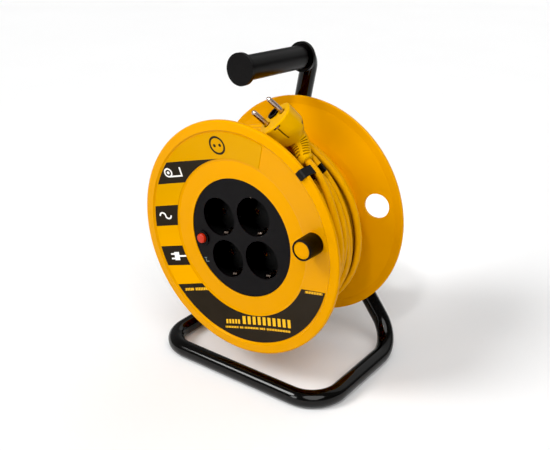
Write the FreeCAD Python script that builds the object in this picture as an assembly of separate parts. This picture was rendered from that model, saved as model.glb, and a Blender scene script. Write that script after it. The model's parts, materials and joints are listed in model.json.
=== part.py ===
import FreeCAD, Part
import math
import os

# Extension cord reel: a tubular stand, a two-flange drum with four sockets in its front face,
# and a cord wound on the drum's hub with its plug lying on the turns.
# Millimetres. X runs to the right, Y to the rear and Z up. The origin is on the floor, under the
# middle of the object. Drum pieces are drawn about the axle, with the drum's middle at y = 0.

# ---- driving dimensions ---------------------------------------------------------------------
TUBE_R = 9.0               # stand tube
TUBE_WALL = 1.5
BASE_HALF_X = 105.0        # base rails, centre lines
BASE_FRONT_Y = -62.5
LEG_Y = 85.0
AXLE_DROP = 148.0          # axle down to the base rails' centre lines
BEND_R = 34.0
GRIP_BEND_R = 14.0
POST_BEND = (-36.2, 44.0)  # x, z where the right leg turns into the post
POST_TOP = (-13.3, 156.5)
GRIP_FRONT = (-12.0, -31.5, 161.7)
GRIP_L = 105.0
WELD_T = 1.5
AXLE_H = AXLE_DROP + TUBE_R

FLANGE_R = 120.0
RIM_Y = 61.0               # outer faces of the two rims
RIM_T = 4.0
RIM_IN_R = 110.0           # inner edge of the raised rim
DISH_R = 81.0              # where the cone meets the flat centre
DISH_Y = 54.2
CENTRE_Y = 53.0
WALL = 3.0
HUB_R = 73.0
HUB_WALL = 2.5
HUB_HALF = 50.4
SPIGOT_R = 70.3
SPIGOT_T = 2.8
SPIGOT_END = 42.0
DRUM_TURN = 13.5           # degrees the drum stands turned, anticlockwise from the front

PANEL_R = 61.2
PANEL_Y = -52.5
SOCKET_PITCH = 44.2
SOCKET_R = 19.8
SOCKET_DEPTH = 17.5
SOCKET_WALL = 1.9
PIN_PITCH = 19.0
CONTACT_HOLE_R = 2.9
BUS_Y = -20.0
BUS_T = 1.5

SHAFT_R = 10.0
RUN_FIT = 0.06
BUSH_R = 14.0
BUSH_FRONT = -7.7
BUSH_REAR = 60.5
BRACKET_Y = 73.0
BRACKET_T = LEG_Y - TUBE_R - BRACKET_Y

GRAB_R = 93.5              # knob and finger hole, distance from the axle
KNOB_FRONT = -78.5
BUTTON_R = 5.0
BUTTON_AT = 50.0
BUTTON_COLLAR_R = 7.8
CORD_R = 3.8
GLAND_Y = 33.0             # where the cord enters the barrel
GLAND_TURN = -30.0
LEAD_Z = -46.0             # the sheathed end inside the barrel
LEAD_END_Y = 2.0
COIL_R = 98.0
COIL_HALF = 49.0
HEAP_END = 14.0            # rear end of the upper layers, about the drum's middle
LAYER_END = 38.5           # rear end of the first layer
CLIP_ANGLE = 47.4
CLIP_W = 8.6
CLIP_SEAT_R = 117.4        # floor of the rim's notch that the clip sits in
LABEL_FROM = 58.5          # degrees, about the drum's own zero
LABEL_TO = 335.5
LABEL_FOOT_Z = -48.0       # straight end of the label below the knob
LABEL_T = 0.3

# plug: centre of its face, and the way its pins point
PLUG_FACE = FreeCAD.Vector(30.0, -36.0, 123.1)
PLUG_DIR = FreeCAD.Vector(-0.47, -0.54, 0.70)
PLUG_PINS_ALONG = FreeCAD.Vector(0.64, 0.34, 0.68)
PLUG_BODY_L = 27.0
PLUG_WAIST = (17.9, 16.2, 13.0)      # half widths, and how far behind the face
PLUG_SHOULDER = (17.2, 13.4, 23.0)
PLUG_R = 18.5
PLUG_FLAT = 17.0
PIN_R = 2.4
PIN_L = 19.0
PIN_TIP = 1.9
EARTH_AT = 9.5             # earth sleeve, from the middle between the pins
EARTH_TUBE_L = 16.0
EARTH_TUBE_R = 5.0
EARTH_BORE_R = 2.5
EARTH_HEAD_R = 6.6
EARTH_HEAD_L = 3.0
EARTH_PROUD = 1.5
STRIP_OUT = 15.9           # outer faces of the side earth strips
STRIP_BEND = 4.0           # where the strips step inwards, behind the face
STRIP_END = 15.9
STRIP_FAR_END = 11.0
BOOT_END = FreeCAD.Vector(59.5, -24.6, 84.6)
BOOT_R = (10.4, 6.2)
BOOT_LEAVE = 11.0          # how far the boot keeps the plug's way, and the cord's way
BOOT_ARRIVE = 9.0

# the drum's middle in the row frame, so that the object stands centred on the origin
MID_Y = -(KNOB_FRONT + LEG_Y + TUBE_R + WELD_T) / 2

# the loose end of the cord, from the boot down to the coil, about the axle
CORD_ROUTE = [
    (59.5, -24.6, 84.6), (70.2, -26.0, 78.0), (81.2, -28.4, 66.8), (90.4, -31.6, 53.4),
    (97.6, -33.6, 38.8), (102.9, -34.6, 23.0), (104.6, -34.0, 6.2), (101.4, -31.5, -11.6),
    (93.0, -28.4, -29.2), (80.4, -26.3, -45.0),
]

V = FreeCAD.Vector
ORIGIN = V(0, 0, 0)
X_AXIS = V(1, 0, 0)
Y_AXIS = V(0, 1, 0)
Z_AXIS = V(0, 0, 1)


# ---- helpers --------------------------------------------------------------------------------
def rod(radius, y0, y1, x=0.0, z=0.0):
    """A round bar along Y."""
    return Part.makeCylinder(radius, y1 - y0, V(x, y0, z), Y_AXIS)


def ring(outer, inner, y0, y1, x=0.0, z=0.0):
    return rod(outer, y0, y1, x, z).cut(rod(inner, y0 - 1, y1 + 1, x, z))


def box(x0, x1, y0, y1, z0, z1):
    return Part.makeBox(x1 - x0, y1 - y0, z1 - z0, V(x0, y0, z0))


def spun(profile):
    """A closed outline of (radius, y) points turned about the axle."""
    points = [V(r, y, 0) for r, y in profile]
    face = Part.Face(Part.makePolygon(points + [points[0]]))
    return face.revolve(ORIGIN, Y_AXIS, 360)


def polar(radius, degrees):
    angle = math.radians(degrees)
    return radius * math.cos(angle), radius * math.sin(angle)


def rounded_path(points, radii):
    """Straight runs joined by tangent arcs, one radius for each inner point."""
    edges = []
    start = points[0]
    for before, corner, after, radius in zip(points, points[1:], points[2:], radii):
        back = (before - corner).normalize()
        ahead = (after - corner).normalize()
        half_turn = (math.pi - back.getAngle(ahead)) / 2
        trim = radius * math.tan(half_turn)
        arc_in = corner + back * trim
        arc_out = corner + ahead * trim
        bisector = (back + ahead).normalize()
        centre = corner + bisector * (radius / math.cos(half_turn))
        middle = centre - bisector * radius
        edges.append(Part.LineSegment(start, arc_in).toShape())
        edges.append(Part.Arc(arc_in, middle, arc_out).toShape())
        start = arc_out
    edges.append(Part.LineSegment(start, points[-1]).toShape())
    return Part.Wire(edges)


def swept(path, radius):
    first = path.Edges[0]
    along = first.tangentAt(first.FirstParameter)
    circle = Part.Wire([Part.makeCircle(radius, first.valueAt(first.FirstParameter), along)])
    return path.makePipeShell([circle], True, False)


def cord_radii(points):
    radii = []
    for before, corner, after in zip(points, points[1:], points[2:]):
        shorter = min((corner - before).Length, (after - corner).Length)
        turn = math.pi - (before - corner).getAngle(after - corner)
        radii.append(0.45 * shorter / math.tan(turn / 2))
    return radii


def spaced(shape, count):
    """Copies of a shape, evenly turned about the axle."""
    return [turned(shape, 360.0 * k / count) for k in range(count)]


def turned(shape, degrees):
    copy = shape.copy()
    copy.rotate(ORIGIN, -Y_AXIS, degrees)
    return copy


def group(shapes):
    return Part.makeCompound(shapes)


# ---- stand ----------------------------------------------------------------------------------
def stand_corners():
    post_x, post_z = POST_BEND
    top_x, top_z = POST_TOP
    return [
        V(*GRIP_FRONT), V(top_x, LEG_Y, top_z), V(post_x, LEG_Y, post_z),
        V(BASE_HALF_X, LEG_Y, -AXLE_DROP), V(BASE_HALF_X, BASE_FRONT_Y, -AXLE_DROP),
        V(-BASE_HALF_X, BASE_FRONT_Y, -AXLE_DROP), V(-BASE_HALF_X, LEG_Y, -AXLE_DROP),
        left_leg_end(),
    ]


def left_leg_end():
    """Where the left leg's centre line meets the right leg's."""
    post_x, post_z = POST_BEND
    slope = (BASE_HALF_X - post_x) / (post_z + AXLE_DROP)
    right_at_axle = post_x + slope * post_z
    left_at_axle = -BASE_HALF_X + slope * AXLE_DROP
    z = (right_at_axle - left_at_axle) / (2 * slope)
    return V(left_at_axle + slope * z, LEG_Y, z)


def frame_tube():
    """One bent tube: grip, post, right leg, base loop and left leg, welded where it meets itself."""
    radii = [GRIP_BEND_R] + [BEND_R] * 5
    corners = stand_corners()
    joint = corners[7]
    rise = (joint - corners[6]).normalize()
    square_end = joint - rise * 13.0
    path = rounded_path(corners[:7] + [square_end], radii)
    tube = swept(path, TUBE_R).cut(swept(path, TUBE_R - TUBE_WALL))
    coped = Part.makeCylinder(TUBE_R, 14.0, square_end, rise)
    coped = coped.cut(Part.makeCylinder(TUBE_R - TUBE_WALL, 14.0, square_end, rise))
    right_leg = corners[3] - corners[2]
    coped = coped.cut(Part.makeCylinder(TUBE_R + 0.3, right_leg.Length, corners[2], right_leg))
    coped = max(coped.Solids, key=lambda solid: solid.Volume)
    return tube.fuse(coped).removeSplitter()


def leg_weld():
    """The weld bead that joins the left leg's end to the right leg."""
    corners = stand_corners()
    end = corners[7]
    left = (end - corners[6]).normalize()
    saddle = Part.makeCylinder(TUBE_R + WELD_T, 2 * TUBE_R, end - left * 2.2 * TUBE_R, left)
    right = corners[3] - corners[2]
    outer = Part.makeCylinder(TUBE_R + 2.0, right.Length, corners[2], right)
    inner = Part.makeCylinder(TUBE_R, right.Length, corners[2], right)
    core = Part.makeCylinder(TUBE_R, 4 * TUBE_R, end - left * 4 * TUBE_R, left)
    bead = saddle.common(outer.cut(inner)).cut(core)
    reach = 60.0
    plate_side = box(-reach, reach, 0.0, BRACKET_Y + BRACKET_T + 0.05, -reach, reach)
    return bead.cut(plate_side)


def grip_axis():
    front = V(*GRIP_FRONT)
    return front, (V(POST_TOP[0], LEG_Y, POST_TOP[1]) - front).normalize()


def handle_grip():
    front, along = grip_axis()
    end_t = 2.6
    collar_t = 4.0
    start = front - along * end_t
    body = Part.makeCylinder(12.0, GRIP_L, start, along)
    for offset in (0.0, GRIP_L - collar_t):
        collar = Part.makeCylinder(15.5, collar_t, start + along * offset, along)
        body = body.fuse(collar)
    bore = Part.makeCylinder(TUBE_R + 0.05, GRIP_L, front - along * 0.1, along)
    return body.cut(bore).removeSplitter()


def axle_bracket():
    """Steel plate welded to the front of the crossed legs."""
    plate_half = 24.0
    corner = 8.0
    plate = box(-plate_half, plate_half, BRACKET_Y, BRACKET_Y + BRACKET_T, -plate_half, plate_half)
    upright = [edge for edge in plate.Edges if abs(edge.tangentAt(edge.FirstParameter).y) > 0.9]
    plate = plate.makeFillet(corner, upright)
    return plate.cut(rod(SHAFT_R + 0.05, BRACKET_Y - 1, LEG_Y))


def axle_shaft():
    front = -8.0
    shaft = rod(SHAFT_R, front, BRACKET_Y + BRACKET_T)
    return shaft.cut(rod(4.05, front - 1, front + 26))


def axle_spacer():
    return ring(16.0, SHAFT_R + 0.05, BUSH_REAR + 0.3, BRACKET_Y)


def retaining_washer():
    return ring(16.0, 4.2, -10.5, -8.0)


def retaining_bolt():
    head = Part.Face(Part.makePolygon([V(*place) for place in hexagon(7.2, -16.0)]))
    return head.extrude(V(0, 5.5, 0)).fuse(rod(4.0, -10.5, 16.0)).removeSplitter()


def hexagon(radius, y):
    corners = [polar(radius, 60 * k) for k in range(7)]
    return [(x, y, z) for x, z in corners]


# ---- drum -----------------------------------------------------------------------------------
def flange_outline(inner):
    """Half section of a flange seen as (radius, distance from the drum's middle)."""
    return [
        (DISH_R - 2, CENTRE_Y + 0.6), (DISH_R, DISH_Y), (RIM_IN_R - 1, RIM_Y - 1.4),
        (RIM_IN_R + 0.6, RIM_Y), (FLANGE_R - 1.6, RIM_Y), (FLANGE_R - 0.4, RIM_Y - 0.6),
        (FLANGE_R, RIM_Y - 1.8), (FLANGE_R, RIM_Y - RIM_T + 0.5), (FLANGE_R - 0.6, RIM_Y - RIM_T),
        (RIM_IN_R + 1.5, RIM_Y - RIM_T), (RIM_IN_R - 1, RIM_Y - 1.4 - WALL),
        (DISH_R, DISH_Y - WALL), (HUB_R + 1.5, HUB_HALF), (SPIGOT_R, HUB_HALF),
        (SPIGOT_R, SPIGOT_END), (SPIGOT_R - SPIGOT_T, SPIGOT_END),
    ] + inner


def front_flange():
    ledge_r = 57.0
    ledge_y = 46.4
    seat_y = -PANEL_Y - WALL - 0.1
    inner = [
        (SPIGOT_R - SPIGOT_T, ledge_y), (ledge_r, ledge_y), (ledge_r, seat_y),
        (PANEL_R + 0.3, seat_y), (PANEL_R + 0.3, CENTRE_Y),
    ]
    flange = spun([(r, -y) for r, y in flange_outline(inner)])
    boss = rod(10.5, -58.2, -54.0, GRAB_R)
    flange = flange.fuse(boss)
    flange = flange.cut(rod(2.1, -60, -50, GRAB_R))
    flange = flange.cut(rod(4.2, -54.6, -50, GRAB_R))
    half_notch = CLIP_W / 2 + 0.2
    notch = box(CLIP_SEAT_R, FLANGE_R + 1, -RIM_Y - 1, -RIM_Y + RIM_T + 1, -half_notch, half_notch)
    return flange.cut(turned(notch, CLIP_ANGLE - DRUM_TURN)).removeSplitter()


def back_flange():
    boss_r = 18.5
    boss_in = 20.0
    bore = BUSH_R + 0.05
    floor_y = CENTRE_Y - WALL
    inner = [
        (SPIGOT_R - SPIGOT_T, floor_y), (boss_r, floor_y), (boss_r, boss_in), (bore, boss_in),
        (bore, BUSH_REAR), (boss_r, BUSH_REAR), (boss_r, CENTRE_Y),
    ]
    flange = spun(flange_outline(inner))
    rib = box(boss_r - 1, DISH_R - 4, CENTRE_Y - 0.5, CENTRE_Y + 3.5, -1.2, 1.2)
    for piece in spaced(rib, 8):
        flange = flange.fuse(piece)
    flange = flange.cut(rod(13.0, 40, 70, GRAB_R))
    for x, z in flange_screw_places():
        flange = flange.cut(rod(2.1, 40, 60, x, z))
        flange = flange.cut(rod(4.2, CENTRE_Y, 60, x, z))
    return flange.removeSplitter()


def flange_screw_places():
    return [polar(60.0, 22.5 + 90 * k) for k in range(4)]


def flange_screws():
    screws = []
    for x, z in flange_screw_places():
        head = rod(3.8, CENTRE_Y, CENTRE_Y + 2.2, x, z)
        shank = rod(2.0, 16.0, CENTRE_Y, x, z)
        slot = box(x - 0.5, x + 0.5, CENTRE_Y + 1.0, CENTRE_Y + 3, z - 2.4, z + 2.4)
        cross = box(x - 2.4, x + 2.4, CENTRE_Y + 1.0, CENTRE_Y + 3, z - 0.5, z + 0.5)
        screws.append(head.fuse(shank).cut(slot).cut(cross).removeSplitter())
    return group(screws)


def hub_drum():
    """The winding barrel, with four screw pillars inside it."""
    barrel = ring(HUB_R, HUB_R - HUB_WALL, -HUB_HALF, HUB_HALF)
    for x, z in flange_screw_places():
        pillar = rod(5.0, -6.0, CENTRE_Y - WALL, x, z)
        angle = math.degrees(math.atan2(z, x))
        web = box(62.0, HUB_R - 1, -6.0, 40.0, -1.25, 1.25)
        barrel = barrel.fuse(pillar).fuse(turned(web, angle))
    for x, z in flange_screw_places():
        barrel = barrel.cut(rod(2.05, 15.0, 60, x, z))
    gland_hole = Part.makeCylinder(6.05, 12, V(0, GLAND_Y, -HUB_R + 6), -Z_AXIS)
    return barrel.cut(turned(gland_hole, GLAND_TURN)).removeSplitter()


def cord_gland():
    """Rubber grommet where the cord enters the barrel."""
    inside = V(0, GLAND_Y, -HUB_R + HUB_WALL + 0.6)
    flange = Part.makeCylinder(8.5, 2.0, inside, Z_AXIS)
    neck = Part.makeCylinder(6.0, HUB_WALL + 0.4, inside, -Z_AXIS)
    bore = Part.makeCylinder(3.85, 14, inside + Z_AXIS * 6, -Z_AXIS)
    return turned(flange.fuse(neck).cut(bore).removeSplitter(), GLAND_TURN)


def inner_lead():
    """The cord's sheathed end inside the barrel, from the gland to the clamp."""
    bend = 12.5
    start = V(0, GLAND_Y, -HUB_R + 0.4)
    corner = V(0, GLAND_Y, LEAD_Z)
    path = rounded_path([start, corner, V(0, LEAD_END_Y, LEAD_Z)], [bend])
    return turned(swept(path, 3.75), GLAND_TURN)


def lead_clamp():
    """Saddle that holds the sheathed end down on the barrel's wall."""
    saddle = box(-9, 9, 12.0, 20.0, -50.5, -40.5)
    foot = box(-3, 3, 12.0, 20.0, -HUB_R + HUB_WALL + 0.1, -50.0)
    tunnel = rod(3.75 + 0.02, 10.0, 22.0, 0.0, LEAD_Z)
    return turned(saddle.fuse(foot).cut(tunnel).removeSplitter(), GLAND_TURN)


def bush():
    return ring(BUSH_R, SHAFT_R + RUN_FIT, BUSH_FRONT, BUSH_REAR)


def socket_places():
    half = SOCKET_PITCH / 2
    return [(x, z) for x in (-half, half) for z in (-half, half)]


def socket_panel():
    """Black front plate with four round openings, and a collar for the button."""
    back_y = PANEL_Y + WALL
    panel = rod(PANEL_R, PANEL_Y, back_y)
    panel = panel.fuse(rod(BUTTON_COLLAR_R, PANEL_Y - 1.4, PANEL_Y + 1, -BUTTON_AT))
    for x, z in socket_places():
        panel = panel.cut(rod(SOCKET_R, PANEL_Y - 3, back_y + 1, x, z))
    panel = panel.cut(rod(BUTTON_R + 0.3, PANEL_Y - 3, back_y + 1, -BUTTON_AT))
    return panel.removeSplitter()


def socket_insert(x, z):
    """One earthed socket well: contact holes, slots for the earth prongs and two guide ribs."""
    front_y = PANEL_Y + WALL + 0.02
    floor_y = PANEL_Y + SOCKET_DEPTH
    well = rod(SOCKET_R + SOCKET_WALL, front_y, floor_y + SOCKET_WALL, x, z)
    well = well.cut(rod(SOCKET_R, front_y - 1, floor_y, x, z))
    for side in (-1, 1):
        contact_x = x + side * PIN_PITCH / 2
        well = well.cut(rod(CONTACT_HOLE_R, floor_y - 1, floor_y + 4, contact_x, z))
        slot_z = z + side * (SOCKET_R - 1.0)
        slot = box(x - 3.6, x + 3.6, PANEL_Y + 3.5, floor_y + 4, slot_z - 1.6, slot_z + 1.6)
        well = well.cut(slot)
        rib_x = x + side * (SOCKET_R - 0.7)
        rib = box(rib_x - 1.0, rib_x + 1.0, front_y, floor_y + 0.5, z - 1.6, z + 1.6)
        well = well.fuse(rib)
    return well.removeSplitter()


def socket_inserts():
    return group([socket_insert(x, z) for x, z in socket_places()])


def contact_sleeves():
    floor_y = PANEL_Y + SOCKET_DEPTH + SOCKET_WALL
    sleeves = []
    for x, z in socket_places():
        for side in (-1, 1):
            at = x + side * PIN_PITCH / 2
            sleeves.append(ring(3.6, 2.45, floor_y + 0.1, BUS_Y, at, z))
    return group(sleeves)


def busbar(side):
    """Brass strip joining the four contacts of one pole; side is -1 or 1."""
    half = SOCKET_PITCH / 2
    near = side * (half - PIN_PITCH / 2)
    far = -side * (half + PIN_PITCH / 2)
    cross_z = side * 30.0
    low, high = min(near, far), max(near, far)
    bar = box(low - 2.5, high + 2.5, BUS_Y, BUS_Y + BUS_T, cross_z - 2.5, cross_z + 2.5)
    for x in (near, far):
        upper = max(half, cross_z)
        lower = min(-half, cross_z)
        bar = bar.fuse(box(x - 2.5, x + 2.5, BUS_Y, BUS_Y + BUS_T, lower - 2.5, upper + 2.5))
    return bar.removeSplitter()


def earth_clips():
    """Spring strips whose two prongs stand at the top and bottom of each recess."""
    back = PANEL_Y + SOCKET_DEPTH + SOCKET_WALL
    width = 2.6
    clips = []
    for x, z in socket_places():
        reach = SOCKET_R - 1.2
        clip = box(x - width, x + width, back + 0.1, back + 1.1, z - reach - 1, z + reach + 1)
        for side in (-1, 1):
            at = z + side * reach
            prong = box(x - width, x + width, PANEL_Y + 4.5, back + 1.1, at - 0.4, at + 0.4)
            bump = Part.makeCylinder(1.6, 2 * width, V(x - width, PANEL_Y + 7.0, at), X_AXIS)
            clip = clip.fuse(prong).fuse(bump)
        clips.append(clip.removeSplitter())
    return group(clips)


def thermal_breaker():
    top = PANEL_Y + WALL
    body = box(-56.0, -43.8, top + 0.1, top + 24.0, -8.8, 8.8)
    pocket = rod(BUTTON_R + 0.3, top - 1, top + 5.0, -BUTTON_AT)
    tags = [box(-52.0, -48.0, top + 23.5, top + 31.0, z - 0.4, z + 0.4) for z in (-5.0, 5.0)]
    for tag in tags:
        body = body.fuse(tag)
    return body.cut(pocket).removeSplitter()


def reset_button():
    cap = rod(BUTTON_R, PANEL_Y - 4.6, PANEL_Y + WALL + 2.0, -BUTTON_AT)
    crown = [edge for edge in cap.Edges if edge.CenterOfMass.y < PANEL_Y - 4.5]
    return cap.makeFillet(1.4, crown)


def wire(points, bend):
    path = rounded_path([V(*point) for point in points], [bend] * (len(points) - 2))
    return swept(path, 1.3)


def core_start(degrees):
    """Where one of the three cores leaves the sheathed end, just in front of its face."""
    centre = turned(Part.Vertex(0, LEAD_END_Y - 0.1, LEAD_Z), GLAND_TURN).Point
    x, z = polar(1.6, degrees)
    return centre.x + x, centre.y, centre.z + z


def live_wires():
    """Live core from the cord to the breaker, and from the breaker to its busbar."""
    tag_y = PANEL_Y + WALL + 31.3
    bus_y = BUS_Y + BUS_T + 0.3
    feed = wire([core_start(210), (-25.5, -6.0, -40.0), (-46.0, -8.0, -20.0),
                 (-BUTTON_AT, tag_y + 9, -5.0), (-BUTTON_AT, tag_y, -5.0)], 6.0)
    link = wire([(-BUTTON_AT, tag_y, 5.0), (-BUTTON_AT, tag_y + 9, 5.0),
                 (-31.6, bus_y + 9, 18.0), (-31.6, bus_y, 18.0)], 5.0)
    return group([feed, link])


def neutral_wire():
    bus_y = BUS_Y + BUS_T + 0.3
    return wire([core_start(330), (-21.0, -7.0, -40.6), (-12.6, -9.0, -31.0),
                 (-12.6, bus_y, -31.0)], 4.0)


def earth_wire():
    clip_y = PANEL_Y + SOCKET_DEPTH + SOCKET_WALL + 1.4
    return wire([core_start(90), (-23.0, -8.0, -38.2), (-22.1, -22.0, -36.5),
                 (-22.1, clip_y, -36.5)], 4.0)


def knob_post():
    post = rod(7.0, -75.0, -58.2, GRAB_R).fuse(rod(8.2, -77.6, -74.8, GRAB_R))
    return post.cut(rod(1.95, -70, -50, GRAB_R)).removeSplitter()


def knob_screw():
    return rod(1.9, -69.0, -54.0, GRAB_R).fuse(rod(4.0, -54.6, -52.0, GRAB_R)).removeSplitter()


def knob_sleeve():
    foot_y = -58.8
    length = foot_y - KNOB_FRONT
    sleeve = Part.makeCone(10.6, 10.1, length, V(GRAB_R, foot_y, 0), -Y_AXIS)
    sleeve = sleeve.cut(rod(7.0 + RUN_FIT, KNOB_FRONT - 1, foot_y + 1, GRAB_R))
    sleeve = sleeve.cut(rod(8.5, KNOB_FRONT - 1, -74.7, GRAB_R))
    edges = [e for e in sleeve.Edges if e.Length > 60 and e.CenterOfMass.y < KNOB_FRONT + 0.5]
    return sleeve.makeFillet(1.0, edges)


def cable_clip():
    """Spring hook in the front rim's notch: a leg each side of the rim and a cradle for the cord."""
    rim_front = -RIM_Y - 0.2
    rim_rear = -RIM_Y + RIM_T + 0.3
    seat = CLIP_SEAT_R + 0.2
    leg_foot = 113.0
    leg_t = 2.0
    cradle_out = COIL_R + 0.4
    cradle_in = cradle_out + 1.8
    path = [
        (rim_front - 2.8, leg_foot), (rim_front - 2.8, 118.4), (rim_front - 1.6, 119.7),
        (-48.0, 119.9), (-46.0, 118.8), (-33.6, 104.2), (-31.0, cradle_in), (-21.1, cradle_in),
        (-21.0, 110.0), (-19.0, 110.0), (-19.0, cradle_out + 1.2), (-20.2, cradle_out),
        (-32.6, cradle_out), (-35.4, 103.0), (-47.2, 116.8), (-49.4, seat),
        (rim_rear + leg_t, seat), (rim_rear + leg_t, leg_foot), (rim_rear, leg_foot),
        (rim_rear, seat), (rim_front, seat), (rim_front, leg_foot),
    ]
    profile = [V(r, y, -CLIP_W / 2) for y, r in path]
    hook = Part.Face(Part.makePolygon(profile + [profile[0]])).extrude(V(0, 0, CLIP_W))
    return turned(hook, CLIP_ANGLE)


def flange_label():
    """Printed plastic ring stuck on the cone of the front flange."""
    def cone_y(radius):
        share = (radius - DISH_R) / (RIM_IN_R - 1 - DISH_R)
        return -(DISH_Y + share * (RIM_Y - 1.4 - DISH_Y))
    inner, outer = DISH_R + 0.6, RIM_IN_R - 2.0
    gap = 0.05
    section = [
        (inner, cone_y(inner) - gap), (outer, cone_y(outer) - gap),
        (outer, cone_y(outer) - gap - LABEL_T), (inner, cone_y(inner) - gap - LABEL_T),
    ]
    points = [V(r, y, 0) for r, y in section]
    face = Part.Face(Part.makePolygon(points + [points[0]]))
    face.rotate(ORIGIN, -Y_AXIS, LABEL_FROM)
    label = face.revolve(ORIGIN, -Y_AXIS, LABEL_TO - LABEL_FROM)
    return label.cut(box(0, FLANGE_R, -FLANGE_R, 0, LABEL_FOOT_Z, 0))


# ---- cord and plug --------------------------------------------------------------------------
def cord_coil():
    """The wound turns as one solid of their outer shape: heaped at the front, one layer behind."""
    inner = HUB_R + 0.1
    shoulder = 4.0
    first_layer = inner + 2 * CORD_R
    return spun([
        (inner, -COIL_HALF), (COIL_R - shoulder, -COIL_HALF), (COIL_R, -COIL_HALF + shoulder),
        (COIL_R, HEAP_END - shoulder), (COIL_R - shoulder, HEAP_END),
        (first_layer + shoulder, HEAP_END + 2.5 * shoulder),
        (first_layer, HEAP_END + 4 * shoulder), (first_layer, LAYER_END), (inner, LAYER_END),
    ])


def cord_tail():
    points = [V(*point) for point in CORD_ROUTE]
    radii = cord_radii(points)
    path = rounded_path(points, radii)
    tube = swept(path, CORD_R)
    section = math.pi * CORD_R ** 2
    print("cord radii", [round(radius, 1) for radius in radii])
    print("cord length", round(path.Length, 1), "volume over section x length",
          round(tube.Volume / (section * path.Length), 4))
    return tube


def plug_frame():
    out = V(PLUG_DIR).normalize()
    across = V(PLUG_PINS_ALONG)
    across = (across - out * across.dot(out)).normalize()
    return out, across, out.cross(across)


def plug_point(a, b, out):
    """A place on the plug: a along the two pins, b towards the rear earth contact."""
    ahead, across, side = plug_frame()
    return PLUG_FACE + across * a + side * b + ahead * out


def plug_slice(radius, flat, out, shift=ORIGIN):
    """Round section with two flats, as a closed wire."""
    ahead, across, side = plug_frame()
    reach = math.sqrt(radius ** 2 - flat ** 2)
    centre = PLUG_FACE + ahead * out + shift

    def at(a, b):
        return centre + across * a + side * b
    return Part.Wire([
        Part.Arc(at(reach, -flat), at(radius, 0), at(reach, flat)).toShape(),
        Part.LineSegment(at(reach, flat), at(-reach, flat)).toShape(),
        Part.Arc(at(-reach, flat), at(-radius, 0), at(-reach, -flat)).toShape(),
        Part.LineSegment(at(-reach, -flat), at(reach, -flat)).toShape(),
    ])


def plug_body():
    front = plug_slice(PLUG_R, PLUG_FLAT, 0.0)
    waist = plug_slice(PLUG_WAIST[0], PLUG_WAIST[1], -PLUG_WAIST[2])
    shoulder = plug_slice(PLUG_SHOULDER[0], PLUG_SHOULDER[1], -PLUG_SHOULDER[2])
    tail = plug_slice(BOOT_R[0] + 0.8, BOOT_R[0], -PLUG_BODY_L)
    slices = [front, waist, shoulder, tail]
    spans = [Part.makeLoft(list(pair), True, True) for pair in zip(slices, slices[1:])]
    body = spans[0].fuse(spans[1:])
    ahead = plug_frame()[0]
    for a in (-PIN_PITCH / 2, PIN_PITCH / 2):
        body = body.cut(Part.makeCylinder(PIN_R - 0.15, 8.1, plug_point(a, 0, -8), ahead))
    gap = 0.05
    tube_seat = plug_point(0, EARTH_AT, -EARTH_TUBE_L)
    body = body.cut(Part.makeCylinder(EARTH_TUBE_R + gap, EARTH_TUBE_L + 1, tube_seat, ahead))
    head_seat = plug_point(0, EARTH_AT, -EARTH_HEAD_L - gap)
    body = body.cut(Part.makeCylinder(EARTH_HEAD_R + gap, EARTH_HEAD_L + 1, head_seat, ahead))
    for strip in earth_strip_shapes(gap):
        body = body.cut(strip)
    return body.removeSplitter()


def plug_block(half_a, b0, b1, out0, out1):
    """A block in the plug's own directions."""
    ahead, across, side = plug_frame()
    low, high = min(b0, b1), max(b0, b1)
    corners = [plug_point(a, b, out0) for a, b in
               ((-half_a, low), (half_a, low), (half_a, high), (-half_a, high), (-half_a, low))]
    return Part.Face(Part.makePolygon(corners)).extrude(ahead * (out1 - out0))


def plug_pins():
    ahead = plug_frame()[0]
    pins = []
    for a in (-PIN_PITCH / 2, PIN_PITCH / 2):
        pin = Part.makeCylinder(PIN_R, PIN_L - PIN_TIP, plug_point(a, 0, 0.05), ahead)
        root = Part.makeCylinder(PIN_R - 0.2, 8.0, plug_point(a, 0, -7.9), ahead)
        tip = Part.makeCone(PIN_R, PIN_R / 2, PIN_TIP, plug_point(a, 0, PIN_L - PIN_TIP + 0.05), ahead)
        pins.append(pin.fuse([root, tip]).removeSplitter())
    return group(pins)


def earth_strip_shapes(gap):
    """The two side strips; gap widens them into their own seats. The near one steps inwards."""
    half = 2.4 + gap
    thick = 1.2
    clear = 20 * gap
    top = STRIP_OUT - thick
    near = plug_block(half, gap - top, -STRIP_OUT - clear, -STRIP_BEND - gap, gap - 0.6)
    step = plug_block(half, thick + gap - top, -top - gap, -STRIP_END - gap, gap - 0.6)
    start = gap - EARTH_HEAD_L - 0.3
    far = plug_block(half, top - gap, STRIP_OUT + clear, -STRIP_FAR_END - gap, start)
    return [near.fuse(step).removeSplitter(), far]


def plug_earth_strips():
    return group(earth_strip_shapes(0.0))


def plug_earth_socket():
    """Sleeve in the plug's face that takes a socket's earth pin, with a wider head."""
    ahead = plug_frame()[0]
    floor_t = 1.5
    mouth_r = 4.0

    def round_bar(radius, out0, out1):
        return Part.makeCylinder(radius, out1 - out0, plug_point(0, EARTH_AT, out0), ahead)
    sleeve = round_bar(EARTH_TUBE_R, 0.1 - EARTH_TUBE_L, 0.0)
    sleeve = sleeve.fuse(round_bar(EARTH_HEAD_R, -EARTH_HEAD_L, EARTH_PROUD))
    sleeve = sleeve.cut(round_bar(EARTH_BORE_R, floor_t - EARTH_TUBE_L, 1.0))
    return sleeve.cut(round_bar(mouth_r, 0.0, EARTH_PROUD + 1)).removeSplitter()


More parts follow.
